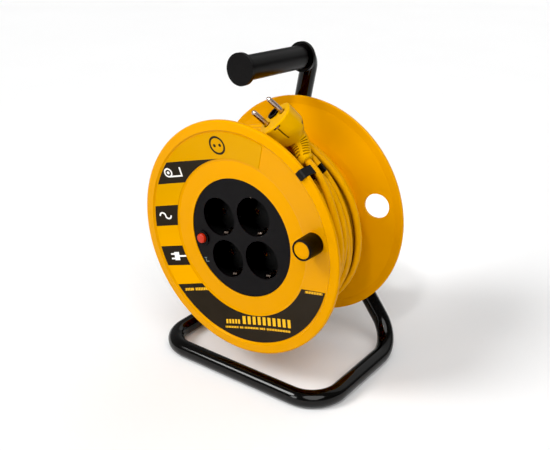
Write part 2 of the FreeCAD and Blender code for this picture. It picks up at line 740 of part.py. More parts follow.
def boot_curve():
    start = plug_point(0, 0, -PLUG_BODY_L)
    ahead = plug_frame()[0]
    arrive = (V(*CORD_ROUTE[1]) - BOOT_END).normalize()
    return start, start - ahead * BOOT_LEAVE, BOOT_END - arrive * BOOT_ARRIVE, BOOT_END


def boot_at(t):
    """Point and direction on the boot's smooth centre line, t from 0 at the plug to 1."""
    p0, p1, p2, p3 = boot_curve()
    s = 1 - t
    point = p0 * s ** 3 + p1 * 3 * s * s * t + p2 * 3 * s * t * t + p3 * t ** 3
    slope = (p1 - p0) * 3 * s * s + (p2 - p1) * 6 * s * t + (p3 - p2) * 3 * t * t
    return point, slope.normalize()


def strain_relief():
    """Ribbed boot that bends with the cord."""
    stations = 25
    sections = []
    for k in range(stations):
        point, along = boot_at(k / (stations - 1))
        groove = 0.9 if k % 3 else 0.0
        radius = BOOT_R[0] + (BOOT_R[1] - BOOT_R[0]) * k / (stations - 1) - groove
        sections.append(Part.Wire([Part.makeCircle(radius, point, along)]))
    return Part.makeLoft(sections, True, True)


# ---- write every node -----------------------------------------------------------------------
STAND_NODES = {
    "frame_tube": frame_tube, "leg_weld": leg_weld, "handle_grip": handle_grip,
    "axle_bracket": axle_bracket, "axle_shaft": axle_shaft, "axle_spacer": axle_spacer,
    "retaining_washer": retaining_washer, "retaining_bolt": retaining_bolt,
}
DRUM_NODES = {
    "front_flange": front_flange, "back_flange": back_flange, "hub_drum": hub_drum,
    "flange_screws": flange_screws, "axle_bush": bush, "socket_panel": socket_panel,
    "socket_inserts": socket_inserts,
    "contact_sleeves": contact_sleeves, "busbar_live": lambda: busbar(1),
    "busbar_neutral": lambda: busbar(-1), "earth_clips": earth_clips,
    "thermal_breaker": thermal_breaker, "reset_button": reset_button,
    "live_wires": live_wires, "neutral_wire": neutral_wire, "earth_wire": earth_wire,
    "cord_gland": cord_gland, "inner_lead": inner_lead, "lead_clamp": lead_clamp,
    "knob_post": knob_post, "knob_screw": knob_screw, "knob_sleeve": knob_sleeve,
    "flange_label": flange_label,
}
LOOSE_NODES = {
    "cable_clip": cable_clip, "cord_coil": cord_coil, "cord_tail": cord_tail,
    "strain_relief": strain_relief, "plug_body": plug_body, "plug_pins": plug_pins,
    "plug_earth_strips": plug_earth_strips, "plug_earth_socket": plug_earth_socket,
}


def write(name, shape):
    shape.translate(V(0, MID_Y, AXLE_H))
    shape.exportStep("parts/%s.step" % name)
    print(name, len(shape.Solids), "solids", shape.isValid(), round(shape.Volume))


def main():
    os.makedirs("parts", exist_ok=True)
    for name, make in STAND_NODES.items():
        write(name, make())
    for name, make in DRUM_NODES.items():
        write(name, turned(make(), DRUM_TURN))
    for name, make in LOOSE_NODES.items():
        write(name, make())


main()
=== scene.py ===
import bpy
import bmesh
import json
import math
from mathutils import Matrix, Vector


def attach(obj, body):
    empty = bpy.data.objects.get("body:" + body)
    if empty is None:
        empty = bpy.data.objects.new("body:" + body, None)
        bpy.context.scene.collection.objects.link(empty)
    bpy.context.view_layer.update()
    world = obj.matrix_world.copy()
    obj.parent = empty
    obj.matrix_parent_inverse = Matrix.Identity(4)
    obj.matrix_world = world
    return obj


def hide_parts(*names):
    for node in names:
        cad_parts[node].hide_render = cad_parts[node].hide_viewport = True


# Looks of an extension cord reel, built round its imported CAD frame. Metres, in the frame's axes.
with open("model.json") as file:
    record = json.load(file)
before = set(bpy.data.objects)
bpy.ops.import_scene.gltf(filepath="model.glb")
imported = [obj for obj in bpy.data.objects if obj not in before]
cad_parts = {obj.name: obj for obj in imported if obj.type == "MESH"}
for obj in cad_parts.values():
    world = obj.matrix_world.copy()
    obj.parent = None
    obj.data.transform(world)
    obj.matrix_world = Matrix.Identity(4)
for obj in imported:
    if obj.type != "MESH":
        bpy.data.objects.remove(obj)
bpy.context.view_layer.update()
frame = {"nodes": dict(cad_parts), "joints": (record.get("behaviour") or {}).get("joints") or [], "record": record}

MM = 0.001
JOINTS = {joint["name"]: joint for joint in frame["joints"]}
MOUNTS = {mount["name"]: mount for mount in frame["record"]["mounts"]}
AXLE = Vector(JOINTS["drum_spin"]["pos_m"])
DRUM_TURN = 13.5                  # degrees the drum stands turned, anticlockwise from the front

# plug: worked out from its two pin mounts
PIN_LEFT = Vector(MOUNTS["plug_pin_left"]["pos_m"])
PIN_RIGHT = Vector(MOUNTS["plug_pin_right"]["pos_m"])
PLUG_AHEAD = Vector(MOUNTS["plug_pin_left"]["axis"]).normalized()
PLUG_ACROSS = (PIN_RIGHT - PIN_LEFT).normalized()
PLUG_SIDE = PLUG_AHEAD.cross(PLUG_ACROSS)
PIN_MIDDLE_AHEAD = 8.6 * MM       # from the plug's face to the middle of a pin
PLUG_FACE = (PIN_LEFT + PIN_RIGHT) / 2 - PLUG_AHEAD * PIN_MIDDLE_AHEAD

# cord
CORD_D = 7.6 * MM
GLAND_ANGLE = 253.5               # where the cord leaves the barrel: degrees round the axle,
POINTS_PER_TURN = 16

# the loose end from the coil up to the plug's boot: x, y, z about the axle, in millimetres
CORD_ROUTE = [
    (101.4, -31.5, -11.6), (104.6, -34.0, 6.2), (102.9, -34.6, 23.0), (97.6, -33.6, 38.8),
    (90.4, -31.6, 53.4), (81.2, -28.4, 66.8), (70.2, -26.0, 78.0), (59.5, -24.6, 84.6),
]

# the winding: turns from the gland, y and radius in millimetres. Three regular layers, then the
# loose top layer, which heaps towards the front.
WINDING = [
    (0.0, 33.0, 75.2), (0.12, 34.2, 76.9), (0.3, 34.2, 76.9), (10.72, -45.1, 76.9),
    (11.0, -45.1, 83.5), (20.4, 26.0, 83.5), (20.7, 23.0, 90.1), (29.5, -45.1, 90.1),
    (29.75, -45.1, 96.6), (30.2, -45.1, 96.6), (30.75, -37.6, 96.6), (31.2, -37.6, 96.6),
    (31.6, -36.6, 96.6), (32.1, -25.5, 96.6), (32.21, -24.0, 96.6), (32.25, -20.5, 96.6),
    (32.3, -15.8, 96.6), (32.34, -12.2, 96.6), (32.38, -13.2, 96.6), (32.42, -15.2, 96.6),
    (32.5, -15.6, 96.6), (32.8, -12.0, 96.6), (33.15, -9.0, 96.6), (33.21, -8.0, 96.6),
    (33.25, -4.6, 95.8), (33.3, -7.4, 94.0), (33.34, -8.8, 93.0), (33.38, -9.0, 92.6),
    (33.46, -8.0, 93.2), (33.7, -4.6, 96.2), (34.1, -1.0, 95.6), (34.2, 2.4, 93.6),
    (34.25, 3.6, 92.8), (34.3, 0.4, 92.0), (34.34, -4.4, 93.6), (34.38, -7.0, 95.8),
    (34.42, -7.6, 96.6), (34.5, -6.4, 96.8), (34.8, 2.0, 96.6), (35.15, 7.6, 96.6),
    (35.21, 8.2, 97.0), (35.25, 11.6, 97.0), (35.3, 9.2, 97.2), (35.34, 9.6, 97.2),
    (35.38, 8.0, 97.2), (35.42, 3.6, 97.2), (35.5, 2.2, 97.6), (35.65, 5.0, 98.6),
    (35.85, 0.0, 102.0), (36.0, -12.0, 104.2), (36.12, -23.0, 104.6), (36.2, -28.6, 104.6),
]


# ---- shader helpers -------------------------------------------------------------------------
NOISE_SPAN = (0.3, 0.7)            # noise seldom leaves these values
PLASTIC_IOR = 1.5
WHITE = (1.0, 1.0, 1.0)
WARM_SHINE = (1.0, 0.5, 0.08)      # yellow plastics give back little blue, even in their shine


def opaque(colour):
    """A colour with full alpha; a socket passes through as it is."""
    return (*colour, 1.0) if isinstance(colour, tuple) and len(colour) == 3 else colour


def shade(colour, factor):
    return tuple(channel * factor for channel in colour)


class Look:
    """A material with short calls for the nodes that its colour, gloss and grain need."""

    def __init__(self, name):
        self.material = bpy.data.materials.new(name)
        self.material.use_nodes = True
        self.tree = self.material.node_tree
        self.shader = self.tree.nodes["Principled BSDF"]
        self.place = self.node("ShaderNodeTexCoord").outputs["Object"]

    def node(self, kind, **settings):
        made = self.tree.nodes.new(kind)
        for key, value in settings.items():
            setattr(made, key, value)
        return made

    def feed(self, socket, value):
        if isinstance(value, bpy.types.NodeSocket):
            self.tree.links.new(value, socket)
        else:
            socket.default_value = value

    def math(self, operation, a, b=0.0, c=0.0):
        made = self.node("ShaderNodeMath", operation=operation)
        for socket, value in zip(made.inputs, (a, b, c)):
            self.feed(socket, value)
        return made.outputs[0]

    def either(self, first, *masks):
        """1 where any of the masks is 1."""
        for mask in masks:
            first = self.math("MAXIMUM", first, mask)
        return first

    def both(self, first, second):
        """1 where both masks are 1."""
        return self.math("MULTIPLY", first, second)

    def band(self, value, low, high):
        """1 where value lies between low and high, else 0."""
        return self.math("COMPARE", value, (low + high) / 2, (high - low) / 2)

    def vector(self, operation, a, b):
        made = self.node("ShaderNodeVectorMath", operation=operation)
        self.feed(made.inputs[0], a)
        self.feed(made.inputs["Scale"] if operation == "SCALE" else made.inputs[1], b)
        return made.outputs[0]

    def noise(self, scale, detail, stretch=(1, 1, 1), roughness=0.5):
        place = self.node("ShaderNodeMapping")
        place.inputs["Scale"].default_value = stretch
        self.feed(place.inputs["Vector"], self.place)
        made = self.node("ShaderNodeTexNoise")
        made.inputs["Scale"].default_value = scale
        made.inputs["Detail"].default_value = detail
        made.inputs["Roughness"].default_value = roughness
        self.feed(made.inputs["Vector"], place.outputs[0])
        return made.outputs["Fac"]

    def cells(self, scale):
        made = self.node("ShaderNodeTexVoronoi")
        made.inputs["Scale"].default_value = scale
        self.feed(made.inputs["Vector"], self.place)
        return made.outputs["Distance"]

    def mapped(self, value, low, high, to_low, to_high):
        made = self.node("ShaderNodeMapRange")
        for socket, number in zip(made.inputs, (value, low, high, to_low, to_high)):
            self.feed(socket, number)
        return made.outputs[0]

    def painted_shade_openness(self, reach):
        """0 deep in a gap and 1 on open surface, from ambient occlusion, for painting shade into a colour."""
        closed, clear = 0.15, 0.8
        gaps = self.node("ShaderNodeAmbientOcclusion", samples=12)
        gaps.inputs["Distance"].default_value = reach
        return self.mapped(gaps.outputs["AO"], closed, clear, 0.0, 1.0)

    def mixed(self, factor, first, second):
        made = self.node("ShaderNodeMix", data_type="RGBA")
        self.feed(made.inputs["Factor"], factor)
        self.feed(made.inputs[6], opaque(first))
        self.feed(made.inputs[7], opaque(second))
        return made.outputs[2]

    def surface(self, colour, marks, smooth, rough, span=NOISE_SPAN):
        """The base colour, and a roughness that goes from smooth to rough with the marks."""
        self.feed(self.shader.inputs["Base Color"], colour)
        self.feed(self.shader.inputs["Roughness"], self.mapped(marks, *span, smooth, rough))

    def bump(self, height, strength, distance):
        made = self.node("ShaderNodeBump")
        made.inputs["Strength"].default_value = strength
        made.inputs["Distance"].default_value = distance * MM
        self.feed(made.inputs["Height"], height)
        self.feed(self.shader.inputs["Normal"], made.outputs[0])

    def set(self, **values):
        for key, value in values.items():
            self.feed(self.shader.inputs[key.replace("_", " ")], value)
        return self.material

    def set_plastic(self, shine, tint=WHITE):
        return self.set(IOR=PLASTIC_IOR, Specular_IOR_Level=shine, Specular_Tint=opaque(tint))


# ---- materials ------------------------------------------------------------------------------
def plastic(name, colour, rough=0.4, grain=0.25, mottle=0.08, worn=0.0, shine=0.25, tint=WHITE):
    """Moulded plastic: faint flow marks in the colour, fine mould grain, uneven gloss."""
    look = Look(name)
    flow = look.noise(14.0, 3.0)
    base = look.mixed(flow, shade(colour, 1 - mottle), shade(colour, 1 + mottle))
    if worn:
        rubbed = look.mapped(look.noise(160.0, 6.0, roughness=0.7), 0.62, 0.74, 0.0, worn)
        base = look.mixed(rubbed, base, shade(colour, 1.7))
    look.surface(base, flow, rough - 0.05, rough + 0.07)
    look.bump(look.noise(900.0, 2.0), grain, 0.12)
    return look.set_plastic(shine, tint)


def metal(name, colour, rough):
    """Bright metal with fine marks that darken it and dull its gloss a little."""
    look = Look(name)
    marks = look.noise(700.0, 4.0)
    look.surface(look.mixed(marks, shade(colour, 0.8), colour), marks, rough - 0.08, rough + 0.12)
    look.bump(marks, 0.15, 0.1)
    return look.set(Metallic=1.0)


def black_paint():
    """Glossy powder coat on tube: soft orange peel and a few light rub marks."""
    look = Look("gloss_black_paint")
    rubs = look.mapped(look.noise(38.0, 7.0, (1, 1, 3), 0.75), 0.64, 0.8, 0.0, 0.5)
    base = look.mixed(rubs, (0.004, 0.0038, 0.0036), (0.012, 0.011, 0.010))
    look.surface(base, rubs, 0.1, 0.24, span=(0.0, 0.5))
    look.bump(look.noise(160.0, 1.0), 0.1, 0.3)
    return look.set_plastic(0.28)


def cord_sheath():
    """PVC sheath: slightly wavy extruded surface, faint handling dirt, and painted shade that darkens the gaps
    between turns.
    """
    look = Look("cord_sheath")
    colour = (0.66, 0.3, 0.003)
    gap_shade_colour = (0.2, 0.075, 0.001)
    gap_shade_reach = 9.0 * MM
    cloud = look.noise(30.0, 4.0)
    dirt = look.mapped(look.noise(120.0, 5.0, roughness=0.65), 0.6, 0.78, 0.0, 0.35)
    base = look.mixed(cloud, shade(colour, 0.9), shade(colour, 1.07))
    dusty = look.mixed(dirt, base, (0.3, 0.16, 0.02))
    # painted shade: deep in the gaps between turns the colour goes to dark brown
    look.surface(look.mixed(look.painted_shade_openness(gap_shade_reach), gap_shade_colour, dusty), cloud, 0.42, 0.54)
    look.bump(look.noise(420.0, 2.0), 0.3, 0.2)
    return look.set_plastic(0.3, WARM_SHINE)


def rubber_grip():
    """Matt moulded grip: clouded near-black with fine pores."""
    look = Look("matt_black_grip")
    cloud = look.noise(25.0, 4.0)
    base = look.mixed(cloud, (0.0028, 0.0026, 0.0026), (0.006, 0.0056, 0.0056))
    look.surface(base, cloud, 0.3, 0.38)
    look.bump(look.cells(1500.0), 0.25, 0.1)
    return look.set_plastic(0.12)


def plug_plastic():
    """Soft plug PVC; grooves named by the mesh's own attribute get painted shade, a darker colour."""
    look = Look("plug_plastic")
    colour = (0.64, 0.325, 0.001)
    groove = look.node("ShaderNodeAttribute", attribute_name="groove").outputs["Fac"]
    cloud = look.noise(30.0, 3.0)
    base = look.mixed(cloud, shade(colour, 0.93), shade(colour, 1.05))
    # painted shade: the groove attribute darkens the colour in the T-shaped mark, the finger holds and the boot's
    # slots
    look.surface(look.mixed(groove, base, (0.09, 0.03, 0.002)), cloud, 0.36, 0.46)
    look.bump(look.noise(800.0, 2.0), 0.3, 0.15)
    return look.set_plastic(0.25, WARM_SHINE)


# ---- print on the label and panel -----------------------------------------------------------
def bars(left, middle_z, widths, height, gap):
    """A row of plain bars, from its left end."""
    row = []
    for width in widths:
        row.append((left + width / 2, middle_z, width, height))
        left += width + gap
    return row


# Millimetres about the axle, level with the drum's own print: x to the right and z up.
SIDE_PANELS = ((59.0, 81.5), (13.5, 35.5), (-30.5, -9.0))    # lower and upper edge of each
FOOT_PANEL_TOP = -47.9
FOOT_SKEW = 0.037                 # slope of the foot's print, which stands askew
COIL_MARK = (-73.0, 70.5)         # middles of the round marks
WAVE_MARK = (-92.5, 24.5)
SOCKET_MARK = (0.0, 95.0)
SOCKET_HOLE_OFF = 3.4

# rectangles: middle x, middle z, width, height
CORD_END_MARK = [(-65.0, 66.3, 14.0, 1.6), (-57.2, 70.5, 1.8, 10.0)]
PLUG_MARK = [(-90.0, -20.5, 6.0, 9.0), (-95.0, -18.0, 4.6, 1.8), (-95.0, -23.0, 4.6, 1.8),
             (-82.5, -20.5, 9.5, 1.8)]
BUTTON_MARK = [(-52.6, -22.0, 3.2, 0.8), (-52.6, -24.6, 0.8, 3.4), (-50.4, -26.0, 3.2, 0.8)]
LARGE_WORDS = (bars(left=-16.4, middle_z=-86.4, widths=(3.9,) * 10, height=8.0, gap=2.7)
               + bars(left=-38.0, middle_z=-88.2, widths=(2.5,) * 5, height=4.4, gap=1.35))
SMALL_WORDS = (bars(left=-39.6, middle_z=-94.1, widths=(17.0, 4.5, 18.0, 7.5, 31.0), height=2.0, gap=1.8)
               + bars(left=-87.0, middle_z=-54.0, widths=(11.5, 18.5), height=2.9, gap=2.0)
               + bars(left=70.6, middle_z=-52.8, widths=(22.5,), height=2.4, gap=0.0))


def drum_millimetres(look):
    """x and z about the axle in millimetres, level with the drum's own print."""
    about = look.vector("SUBTRACT", look.place, AXLE)
    turn = look.node("ShaderNodeVectorRotate", rotation_type="Y_AXIS")
    look.feed(turn.inputs["Vector"], about)
    turn.inputs["Angle"].default_value = math.radians(DRUM_TURN)
    scaled = look.vector("SCALE", turn.outputs[0], 1 / MM)
    split = look.node("ShaderNodeSeparateXYZ")
    look.feed(split.inputs[0], scaled)
    return split.outputs[0], split.outputs[2]


def rectangles(look, place, shapes):
    """1 inside any of the rectangles (middle x, middle z, width, height)."""
    x, z = place
    inside = [look.both(look.math("COMPARE", x, middle_x, width / 2),
                        look.math("COMPARE", z, middle_z, height / 2))
              for middle_x, middle_z, width, height in shapes]
    return look.either(*inside)


def ring_mask(look, place, middle, outer, inner=-1.0):
    """1 on a ring about its middle, or on the whole disc where no inner radius is given."""
    x, z = place
    across = look.math("POWER", look.math("SUBTRACT", x, middle[0]), 2.0)
    up = look.math("POWER", look.math("SUBTRACT", z, middle[1]), 2.0)
    return look.band(look.math("SQRT", look.math("ADD", across, up)), inner, outer)


def strokes(look, x, period, share):
    """1 on evenly spaced upright strokes, as letters too small to read look from afar."""
    return look.math("LESS_THAN", look.math("FRACT", look.math("DIVIDE", x, period)), share)


def wave_mark(look, place, middle, radius, stroke):
    """One full wave: a half ring above the line and a half ring below it."""
    x, z = middle
    shift = radius - stroke / 2
    above = ring_mask(look, place, (x - shift, z), radius, radius - stroke)
    below = ring_mask(look, place, (x + shift, z), radius, radius - stroke)
    return look.either(look.both(above, look.math("GREATER_THAN", place[1], z)),
                       look.both(below, look.math("LESS_THAN", place[1], z)))


def socket_mark(look, place):
    """A plain socket: a ring and its two holes."""
    x, z = SOCKET_MARK
    holes = [ring_mask(look, place, (x + off, z), outer=1.7) for off in (-SOCKET_HOLE_OFF, SOCKET_HOLE_OFF)]
    return look.either(ring_mask(look, place, SOCKET_MARK, outer=9.6, inner=7.4), *holes)


def label_print():
    """Printed film: yellow ground, black panels and plain generic marks in place of words."""
    look = Look("printed_label")
    place = drum_millimetres(look)
    x, z = place
    foot_z = look.math("SUBTRACT", z, look.math("MULTIPLY", x, FOOT_SKEW))
    foot = (x, foot_z)
    left_half = look.math("LESS_THAN", x, 0.0)
    side_panels = [look.both(left_half, look.band(z, low, high)) for low, high in SIDE_PANELS]
    foot_panel = look.math("LESS_THAN", foot_z, FOOT_PANEL_TOP)
    black_areas = look.either(foot_panel, *side_panels, socket_mark(look, place))
    coil = look.either(ring_mask(look, place, COIL_MARK, outer=5.0, inner=3.4),
                       ring_mask(look, place, COIL_MARK, outer=1.6))
    white_marks = look.either(rectangles(look, place, CORD_END_MARK + PLUG_MARK), coil,
                              wave_mark(look, place, WAVE_MARK, radius=4.2, stroke=1.7))
    small_words = look.both(rectangles(look, foot, SMALL_WORDS), strokes(look, x, period=2.1, share=0.72))
    gold_marks = look.either(small_words, rectangles(look, foot, LARGE_WORDS))

    # painted light: the yellow ground is lighter towards the label's foot
    painted_light_low = look.mapped(z, -20.0, 60.0, 1.0, 0.0)
    yellow = look.mixed(look.noise(20.0, 3.0), (0.55, 0.262, 0.0), (0.6, 0.29, 0.001))
    black = look.mixed(look.noise(40.0, 3.0), (0.010, 0.010, 0.009), (0.016, 0.015, 0.013))
    inked = look.mixed(painted_light_low, yellow, (0.71, 0.32, 0.0))
    inked = look.mixed(black_areas, inked, black)
    inked = look.mixed(white_marks, inked, (0.82, 0.8, 0.76))
    inked = look.mixed(gold_marks, inked, (0.8, 0.42, 0.02))
    look.surface(inked, look.noise(60.0, 3.0), 0.3, 0.4)
    look.bump(look.noise(500.0, 1.0), 0.12, 0.1)
    return look.set_plastic(0.15, WARM_SHINE)


def panel_plastic():
    """Black panel with fine spark-eroded texture and one small light mark by the button."""
    look = Look("black_panel_plastic")
    mark = rectangles(look, drum_millimetres(look), BUTTON_MARK)
    cloud = look.noise(18.0, 3.0)
    base = look.mixed(cloud, (0.0065, 0.0062, 0.0065), (0.0105, 0.0098, 0.0102))
    look.surface(look.mixed(mark, base, (0.16, 0.2, 0.2)), cloud, 0.36, 0.46)
    look.bump(look.noise(1600.0, 3.0), 0.4, 0.12)
    return look.set_plastic(0.06)


# ---- mesh helpers ---------------------------------------------------------------------------
def link_new(name, data):
    """A new object of the scene, from its mesh, curve, light or camera."""
    made = bpy.data.objects.new(name, data)
    bpy.context.scene.collection.objects.link(made)
    return made


def add_mesh(name, vertices, faces, material, smooth=True):
    mesh = bpy.data.meshes.new(name)
    mesh.from_pydata([tuple(vertex) for vertex in vertices], [], faces)
    mesh.update()
    for polygon in mesh.polygons:
        polygon.use_smooth = smooth
    mesh.materials.append(material)
    return link_new(name, mesh)


def closed_tube_faces(rows, columns):
    """Quads of a tube, rows along it and columns round it, and a face over each end."""
    faces = []
    for near in range(0, (rows - 1) * columns, columns):
        far = near + columns
        for j in range(columns):
            k = (j + 1) % columns
            faces.append((near + j, near + k, far + k, far + j))
    last = (rows - 1) * columns
    faces.append(tuple(reversed(range(columns))))
    faces.append(tuple(range(last, last + columns)))
    return faces


def smoothstep(low, high, value):
    t = min(1.0, max(0.0, (value - low) / (high - low)))
    return t * t * (3 - 2 * t)


def plateau(value, half, soft):
    """1 where |value| is under half, falling smoothly to 0 over soft."""
    return 1 - smoothstep(half, half + soft, abs(value))


def signed_power(value, power):
    """The size of a value raised to a power, with the value's sign."""
    return math.copysign(abs(value) ** power, value)


def set_groove_shade(piece, depths):
    """Keeps each point's share of painted shade for the material, which darkens it there."""
    attribute = piece.data.attributes.new("groove", "FLOAT", "POINT")
    attribute.data.foreach_set("value", depths)


def apply_modifiers(piece):
    graph = bpy.context.evaluated_depsgraph_get()
    final = bpy.data.meshes.new_from_object(piece.evaluated_get(graph))
    piece.modifiers.clear()
    piece.data = final


# ---- cord -----------------------------------------------------------------------------------
def winding_at(turns):
    """y and radius of the winding, in millimetres, from its list of places."""
    for (t0, y0, r0), (t1, y1, r1) in zip(WINDING, WINDING[1:]):
        if turns <= t1:
            share = (turns - t0) / (t1 - t0)
            return y0 + (y1 - y0) * share, r0 + (r1 - r0) * share
    return WINDING[-1][1:]


def cord_points():
    """Turns worked out round the axle, then the loose end's own route."""
    step = 1.0 / POINTS_PER_TURN
    outward = 1.0 / math.cos(math.pi / POINTS_PER_TURN)      # the spline cuts inside its points
    points = []
    count = int(WINDING[-1][0] / step)
    for k in range(count + 1):
        y, radius = winding_at(k * step)
        angle = math.radians(GLAND_ANGLE + 360.0 * k * step)
        reach = radius * outward * MM
        points.append(AXLE + Vector((reach * math.cos(angle), y * MM, reach * math.sin(angle))))
    points += [AXLE + Vector(place) * MM for place in CORD_ROUTE]
    return points


def build_cord(material):
    curve = bpy.data.curves.new("cord", "CURVE")
    curve.dimensions = "3D"
    curve.bevel_depth = CORD_D / 2
    curve.bevel_resolution = 5
    curve.resolution_u = 3
    curve.use_fill_caps = True
    points = cord_points()
    spline = curve.splines.new("NURBS")
    spline.points.add(len(points) - 1)
    for point, place in zip(spline.points, points):
        point.co = (*place, 1.0)
    spline.order_u = 3
    spline.use_endpoint_u = True
    curve.materials.append(material)
    cord = link_new("cord", curve)
    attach(cord, "drum")
    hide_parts("cord_coil", "cord_tail")


# ---- plug -----------------------------------------------------------------------------------
PLUG_LENGTH = 27.0
PLUG_FILLET = 1.4                 # round edge of the face
FILLET_ROWS = 8
PIN_OFF = 9.5                     # each pin, and the earth socket, from the face's middle
EARTH_OFF = 9.5

# half widths along the two pins and towards the earth contacts: at the face, what they lose per
# millimetre, and where the shoulder starts, where it ends and what it takes off
ACROSS_SHAPE = {"at_face": 18.5, "taper": 0.05, "shoulder": (20.5, 29.5), "drop": 6.5}
SIDE_SHAPE = {"at_face": 17.0, "taper": 0.06, "shoulder": (13.0, 29.5), "drop": 4.8}
SQUARE_POWER = 2 / 2.35           # outline between an ellipse, at 1, and a rectangle, near 0
CORNER_PULL = 0.24                # draws the columns of points towards the outline's corners
GROOVE_DEPTH = 1.3
HOLD_DEPTH = 1.6                  # finger hold on each narrow side
HOLD_BACK = 22.0
HOLD_SHADE = 0.9                   # how much of a groove's painted shade a full hold shows

# across, side, radius and depth
PLUG_HOLES = (
    (0.0, EARTH_OFF, 5.05, 16.0),     # earth socket
    (0.0, EARTH_OFF, 6.65, 3.05),     # its wide mouth
    (-PIN_OFF, 0.0, 3.4, 2.4),        # seat round each pin
    (PIN_OFF, 0.0, 3.4, 2.4),
)


def plug_half_width(back, at_face, taper, shoulder, drop):
    """Half width of the plug at a distance behind its face, in millimetres."""
    half = at_face - taper * back - drop * smoothstep(*shoulder, back)
    if back < PLUG_FILLET:
        half -= PLUG_FILLET - math.sqrt(PLUG_FILLET ** 2 - (PLUG_FILLET - back) ** 2)
    return half


def plug_place(across, side, back):
    """A point by its millimetres along the pins' line, sideways and behind the face."""
    return PLUG_FACE + (PLUG_ACROSS * across + PLUG_SIDE * side - PLUG_AHEAD * back) * MM


def plug_groove(across, back):
    """Depth share of the T-shaped mark: a bar near the face and a stem towards the boot."""
    bar = plateau(across, half=3.3, soft=0.35) * plateau(back - 2.6, half=0.65, soft=0.35)
    stem = plateau(across, half=0.45, soft=0.4) * plateau(back - 10.5, half=7.5, soft=0.5)
    return max(bar, stem)


def plug_rows():
    """Distances behind the face of the rings of points, closer along the T-shaped mark."""
    mark_end, close_step, wide_step = 21.0, 0.4, 0.8
    rows = [PLUG_FILLET * (1 - math.cos(math.pi / 2 * k / FILLET_ROWS)) for k in range(FILLET_ROWS)]
    back = PLUG_FILLET
    while back < PLUG_LENGTH:
        rows.append(back)
        back += close_step if back < mark_end else wide_step
    return rows + [PLUG_LENGTH]


def build_plug_body(material):
    columns = 260
    rows = plug_rows()
    vertices, grooves = [], []
    for back in rows:
        wide = plug_half_width(back, **ACROSS_SHAPE)
        deep = plug_half_width(back, **SIDE_SHAPE)
        for j in range(columns):
            turn = 2 * math.pi * j / columns
            turn += CORNER_PULL * math.sin(2 * turn)
            across = signed_power(math.cos(turn), SQUARE_POWER) * wide
            side = signed_power(math.sin(turn), SQUARE_POWER) * deep
            groove = plug_groove(across, back) if abs(side) > 0.5 * deep else 0.0
            hold = 0.0
            if abs(across) > 0.5 * wide:
                hold = plateau(back - HOLD_BACK, half=3.2, soft=0.8) * plateau(side, half=5.5, soft=1.5)
            across *= 1 - HOLD_DEPTH * hold / wide
            side *= 1 - GROOVE_DEPTH * groove / deep
            vertices.append(plug_place(across, side, back))
            grooves.append(max(groove, HOLD_SHADE * hold))
    body = add_mesh("plug_shell", vertices, closed_tube_faces(len(rows), columns), material)
    set_groove_shade(body, grooves)
    drill_plug(body)
    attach(body, "drum")
    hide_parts("plug_body")
    return body


def drill_plug(body):
    """Cuts the earth socket's hole and a small seat round each pin."""
    ahead = 2.0                   # the drills start this far in front of the face
    along_pins = PLUG_AHEAD.to_track_quat("Z", "Y").to_matrix().to_4x4()
    cutters = []
    for across, side, radius, depth in PLUG_HOLES:
        tool = bmesh.new()
        bmesh.ops.create_cone(tool, cap_ends=True, segments=48, radius1=radius * MM, radius2=radius * MM,
                              depth=(depth + ahead) * MM)
        mesh = bpy.data.meshes.new("drill")
        tool.to_mesh(mesh)
        tool.free()
        cutter = link_new("drill", mesh)
        middle = plug_place(across, side, (depth - ahead) / 2)
        cutter.matrix_world = Matrix.Translation(middle) @ along_pins
        cutters.append(cutter)
        cut = body.modifiers.new("hole", "BOOLEAN")
        cut.object = cutter
        cut.operation = "DIFFERENCE"
        cut.solver = "EXACT"
    bpy.context.view_layer.update()
    apply_modifiers(body)
    for cutter in cutters:
        bpy.data.objects.remove(cutter)
    body.data.set_sharp_from_angle(angle=math.radians(40))


# ---- boot -----------------------------------------------------------------------------------
BOOT_START_R = 10.6
BOOT_END_R = 6.3
BOOT_HOLLOW = 0.85                # under 1 the boot narrows sooner, and looks a little hollow
BOOT_LEAVE = 11.0                 # how far the boot keeps the plug's way, and the cord's way
BOOT_ARRIVE = 9.0
BOOT_LIP = (0.965, 1.0, 0.7)      # the end's round edge: its shares of the length, and its radius
SLOT_ROWS = 4
SLOTS_IN_ROW = 7
SLOTS_START = 0.12                # share of the length where the slots start,
SLOTS_SHARE = 0.76                # and the share that they take
SLOT_DEPTH = 1.35
# painted shade in the flex slots, as a share of the groove's dark colour
SLOT_SHADE = 0.75


def boot_line(share):
    """Point and direction on the boot's centre line, share from 0 at the plug to 1."""
    start = plug_place(0, 0, PLUG_LENGTH)
    end = AXLE + Vector(CORD_ROUTE[-1]) * MM
    arrive = (AXLE + Vector(CORD_ROUTE[-2]) * MM - end).normalized()
    p0, p1, p2, p3 = start, start - PLUG_AHEAD * BOOT_LEAVE * MM, end - arrive * BOOT_ARRIVE * MM, end
    s = 1 - share
    place = p0 * s ** 3 + p1 * 3 * s * s * share + p2 * 3 * s * share ** 2 + p3 * share ** 3
    slope = (p1 - p0) * 3 * s * s + (p2 - p1) * 6 * s * share + (p3 - p2) * 3 * share ** 2
    return place, slope.normalized()


def boot_depth(share, turn):
    """Depth share of the flex slots: rows of short arcs, neighbours half a step apart."""
    quarters = (turn - math.pi / 4) / (2 * math.pi / SLOT_ROWS)
    row = round(quarters)
    step = (share - SLOTS_START) / SLOTS_SHARE * SLOTS_IN_ROW - (0.5 if row % 2 else 0.0)
    if step < -0.45 or step > SLOTS_IN_ROW - 0.4:
        return 0.0
    return plateau(step - round(step), half=0.13, soft=0.08) * plateau(quarters - row, half=0.3, soft=0.08)


